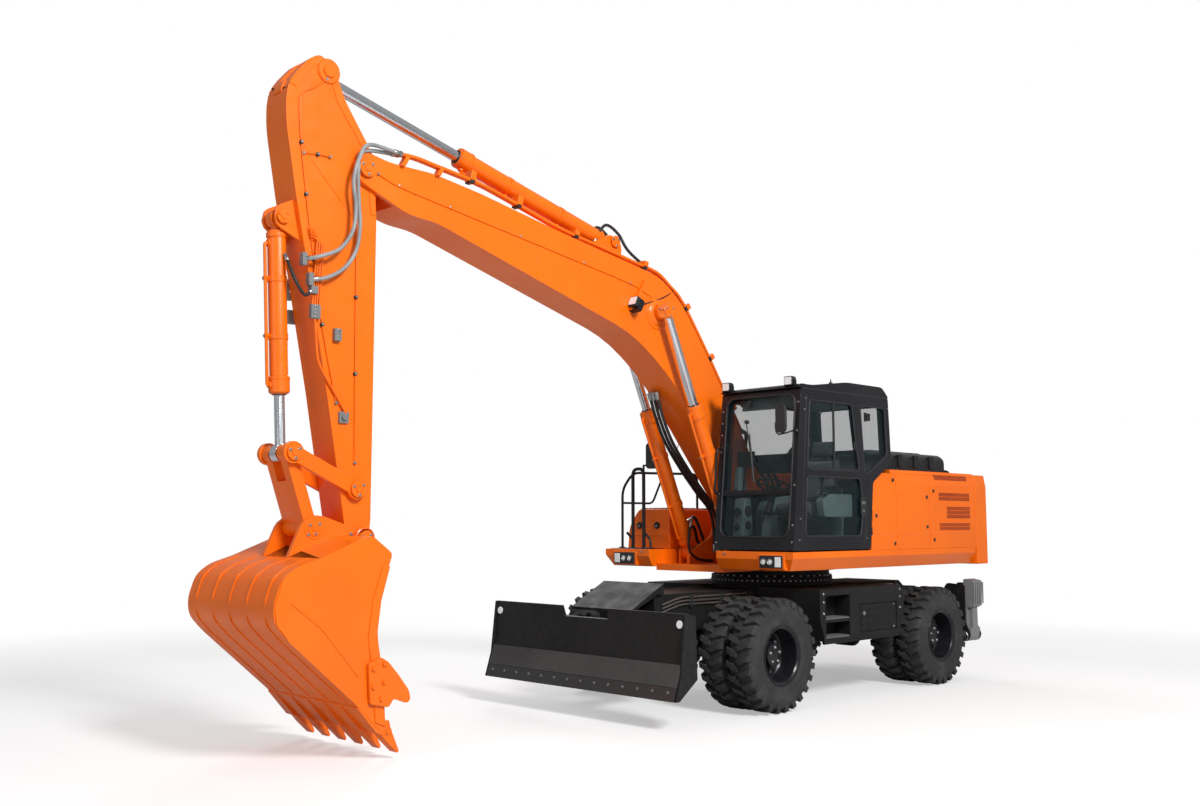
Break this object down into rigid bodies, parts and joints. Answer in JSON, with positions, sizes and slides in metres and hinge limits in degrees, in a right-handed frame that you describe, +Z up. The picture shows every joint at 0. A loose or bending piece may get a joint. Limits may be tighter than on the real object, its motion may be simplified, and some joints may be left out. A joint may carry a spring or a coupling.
{
  "type": "wheeled excavator",
  "caption": "Wheeled excavator on twin tyres with a turning upper body, glazed cab, boom, arm, bucket, dozer blade and rear stabilizers.",
  "frame": {"origin": "on the ground below the middle of the machine's length and width", "axes": "+X to the machine's left (cab side), -Y forward towards the bucket, +Z up; the swing axis is 1.75 m behind the origin"},
  "size_m": [2.512, 8.9954, 5.4018],
  "materials": {
    "orange_paint": "gloss",
    "dark_paint": "satin",
    "grey_paint": "satin",
    "rod_chrome": "polished",
    "tyre_rubber": "matt",
    "cab_glass": "tinted",
    "seat_fabric": "woven",
    "black_plastic": "grained",
    "steel": "brushed",
    "grey_plastic": "grained",
    "hose_rubber": "matt",
    "hose_sleeve": "braided",
    "clear_lens": "gloss",
    "red_lens": "gloss",
    "amber_lens": "gloss",
    "mirror_glass": "polished"
  },
  "bodies": {
    "chassis": {"chassis_frame": "dark_paint", "front_axle": "dark_paint", "rear_axle": "dark_paint", "drive_shaft": "dark_paint", "slew_ring": "dark_paint", "left_step_box": "dark_paint", "right_step_box": "dark_paint", "blade_guard": "dark_paint", "stabilizer_beam": "dark_paint"},
    "left_knuckle": {"left_knuckle": "dark_paint"},
    "right_knuckle": {"right_knuckle": "dark_paint"},
    "front_left_wheel": {"front_left_wheel": "tyre_rubber"},
    "front_right_wheel": {"front_right_wheel": "tyre_rubber"},
    "rear_left_wheel": {"rear_left_wheel": "tyre_rubber"},
    "rear_right_wheel": {"rear_right_wheel": "tyre_rubber"},
    "upper": {"upper_frame": "orange_paint", "left_deck": "orange_paint", "right_deck": "orange_paint", "counterweight": "orange_paint", "left_fixed_panel": "orange_paint", "bay_cover": "orange_paint", "engine": "dark_paint", "toolbox": "orange_paint", "fuel_tank": "orange_paint", "handrail": "dark_paint", "cab_frame": "dark_paint", "cab_roof": "dark_paint", "windscreen": "cab_glass", "right_window": "cab_glass", "quarter_window": "cab_glass", "rear_window": "cab_glass", "driver_seat": "seat_fabric", "console": "black_plastic"},
    "cab_door": {"cab_door": "dark_paint", "door_window": "cab_glass", "door_lower_window": "cab_glass"},
    "engine_hood": {"engine_hood": "dark_paint"},
    "left_front_door": {"left_front_door": "orange_paint"},
    "left_rear_door": {"left_rear_door": "orange_paint"},
    "pump_door": {"pump_door": "orange_paint"},
    "boom": {"boom": "orange_paint"},
    "boom_barrels": {"left_boom_cylinder_barrel": "orange_paint", "right_boom_cylinder_barrel": "orange_paint"},
    "boom_rods": {"left_boom_cylinder_rod": "rod_chrome", "right_boom_cylinder_rod": "rod_chrome"},
    "arm": {"arm": "orange_paint"},
    "arm_barrel": {"arm_cylinder_barrel": "orange_paint"},
    "arm_rod": {"arm_cylinder_rod": "rod_chrome"},
    "bucket": {"bucket": "orange_paint"},
    "guide_link": {"guide_link": "orange_paint"},
    "push_link": {"push_link": "orange_paint"},
    "bucket_barrel": {"bucket_cylinder_barrel": "orange_paint"},
    "bucket_rod": {"bucket_cylinder_rod": "rod_chrome"},
    "blade": {"dozer_blade": "dark_paint"},
    "blade_barrel": {"blade_cylinder_barrel": "dark_paint"},
    "blade_rod": {"blade_cylinder_rod": "rod_chrome"},
    "left_stabilizer": {"left_stabilizer": "grey_paint"},
    "right_stabilizer": {"right_stabilizer": "grey_paint"}
  },
  "joints": [
    {"name": "swing", "type": "hinge", "parent": "chassis", "child": "upper", "pos_m": [0, 1.75, 1.25], "axis": [0, 0, 1], "continuous": true},
    {"name": "steering_left", "type": "hinge", "parent": "chassis", "child": "left_knuckle", "pos_m": [0.56, 0.289, 0.5255], "axis": [0, 0, 1], "range_deg": [-25, 25]},
    {"name": "steering_right", "type": "hinge", "parent": "chassis", "child": "right_knuckle", "pos_m": [-0.56, 0.289, 0.5255], "axis": [0, 0, 1], "range_deg": [-26, 26]},
    {"name": "front_left_wheel_spin", "type": "hinge", "parent": "left_knuckle", "child": "front_left_wheel", "pos_m": [1, 0.289, 0.5255], "axis": [1, 0, 0], "continuous": true},
    {"name": "front_right_wheel_spin", "type": "hinge", "parent": "right_knuckle", "child": "front_right_wheel", "pos_m": [-1, 0.289, 0.5255], "axis": [1, 0, 0], "continuous": true},
    {"name": "rear_left_wheel_spin", "type": "hinge", "parent": "chassis", "child": "rear_left_wheel", "pos_m": [1, 3.139, 0.5255], "axis": [1, 0, 0], "continuous": true},
    {"name": "rear_right_wheel_spin", "type": "hinge", "parent": "chassis", "child": "rear_right_wheel", "pos_m": [-1, 3.139, 0.5255], "axis": [1, 0, 0], "continuous": true},
    {"name": "cab_door_swing", "type": "hinge", "parent": "upper", "child": "cab_door", "pos_m": [1.265, 1.73, 2.2], "axis": [0, 0, -1], "range_deg": [-160, 0]},
    {"name": "engine_hood_lift", "type": "hinge", "parent": "upper", "child": "engine_hood", "pos_m": [0, 3.89, 2.305], "axis": [-1, 0, 0], "range_deg": [0, 60]},
    {"name": "left_front_door_swing", "type": "hinge", "parent": "upper", "child": "left_front_door", "pos_m": [1.26, 2.278, 1.9], "axis": [0, 0, -1], "range_deg": [0, 100]},
    {"name": "left_rear_door_swing", "type": "hinge", "parent": "upper", "child": "left_rear_door", "pos_m": [1.26, 3.94, 1.9], "axis": [0, 0, 1], "range_deg": [0, 100]},
    {"name": "pump_door_swing", "type": "hinge", "parent": "upper", "child": "pump_door", "pos_m": [-1.26, 2.31, 1.9], "axis": [0, 0, 1], "range_deg": [0, 100]},
    {"name": "boom_lift", "type": "hinge", "parent": "upper", "child": "boom", "pos_m": [-0.147, 1.5, 1.93], "axis": [-1, 0, 0], "range_deg": [-52, 24]},
    {"name": "boom_cylinder_tilt", "type": "hinge", "parent": "upper", "child": "boom_barrels", "pos_m": [-0.147, 0.95, 1.43], "axis": [-1, 0, 0], "range_deg": [-53, 25.7]},
    {"name": "boom_cylinder_stroke", "type": "slide", "parent": "boom_barrels", "child": "boom_rods", "axis": [0, -0.4054, 0.9141], "range_m": [-0.65, 0.31]},
    {"name": "arm_swing", "type": "hinge", "parent": "boom", "child": "arm", "pos_m": [-0.147, -3.5282, 4.5698], "axis": [1, 0, 0], "range_deg": [-90, 26]},
    {"name": "arm_cylinder_tilt", "type": "hinge", "parent": "boom", "child": "arm_barrel", "pos_m": [-0.147, -0.6204, 4.4697], "axis": [1, 0, 0], "range_deg": [-3.3, 1]},
    {"name": "arm_cylinder_stroke", "type": "slide", "parent": "arm_barrel", "child": "arm_rod", "axis": [0, -0.9694, 0.2456], "range_m": [-1.102, 0.338]},
    {"name": "bucket_curl", "type": "hinge", "parent": "arm", "child": "bucket", "pos_m": [-0.147, -3.5003, 1.62], "axis": [1, 0, 0], "range_deg": [-28, 138]},
    {"name": "guide_link_swing", "type": "hinge", "parent": "arm", "child": "guide_link", "pos_m": [-0.147, -3.547, 2.0045], "axis": [1, 0, 0], "range_deg": [-22.7, 98.3]},
    {"name": "push_link_swing", "type": "hinge", "parent": "guide_link", "child": "push_link", "pos_m": [-0.147, -4.1105, 2.2682], "axis": [1, 0, 0], "range_deg": [-47.4, 10.9]},
    {"name": "bucket_cylinder_tilt", "type": "hinge", "parent": "arm", "child": "bucket_barrel", "pos_m": [-0.147, -4.2005, 4.0695], "axis": [1, 0, 0], "range_deg": [-0.8, 3.5]},
    {"name": "bucket_cylinder_stroke", "type": "slide", "parent": "bucket_barrel", "child": "bucket_rod", "axis": [0, 0.0499, -0.9988], "range_m": [-0.196, 0.885]},
    {"name": "blade_lift", "type": "hinge", "parent": "chassis", "child": "blade", "pos_m": [0, -0.37, 0.6], "axis": [-1, 0, 0], "range_deg": [-26, 8]},
    {"name": "blade_cylinder_tilt", "type": "hinge", "parent": "chassis", "child": "blade_barrel", "pos_m": [0, -0.565, 0.985], "axis": [-1, 0, 0], "range_deg": [-16.2, 5.4]},
    {"name": "blade_cylinder_stroke", "type": "slide", "parent": "blade_barrel", "child": "blade_rod", "axis": [0, -0.5716, -0.8205], "range_m": [-0.054, 0.167]},
    {"name": "left_stabilizer_fold", "type": "hinge", "parent": "chassis", "child": "left_stabilizer", "pos_m": [1.13, 3.94, 0.47], "axis": [0, 1, 0], "range_deg": [0, 128]},
    {"name": "right_stabilizer_fold", "type": "hinge", "parent": "chassis", "child": "right_stabilizer", "pos_m": [-1.13, 3.94, 0.47], "axis": [0, -1, 0], "range_deg": [0, 128]}
  ],
  "couplings": [
    {"joint": "steering_right", "follows": "steering_left", "ratio": 1},
    {"joint": "boom_cylinder_tilt", "follows": "boom_lift", "ratio": 0.9764},
    {"joint": "boom_cylinder_stroke", "follows": "boom_lift", "m_per_rad": 0.6964},
    {"joint": "arm_cylinder_tilt", "follows": "arm_swing", "ratio": 0.0351},
    {"joint": "arm_cylinder_stroke", "follows": "arm_swing", "m_per_rad": 0.6838},
    {"joint": "guide_link_swing", "follows": "bucket_curl", "ratio": 0.6878},
    {"joint": "push_link_swing", "follows": "bucket_curl", "ratio": -0.3315},
    {"joint": "bucket_cylinder_tilt", "follows": "bucket_curl", "ratio": 0.0248},
    {"joint": "bucket_cylinder_stroke", "follows": "bucket_curl", "m_per_rad": 0.3587},
    {"joint": "blade_cylinder_tilt", "follows": "blade_lift", "ratio": 0.6004},
    {"joint": "blade_cylinder_stroke", "follows": "blade_lift", "m_per_rad": -0.3577}
  ]
}
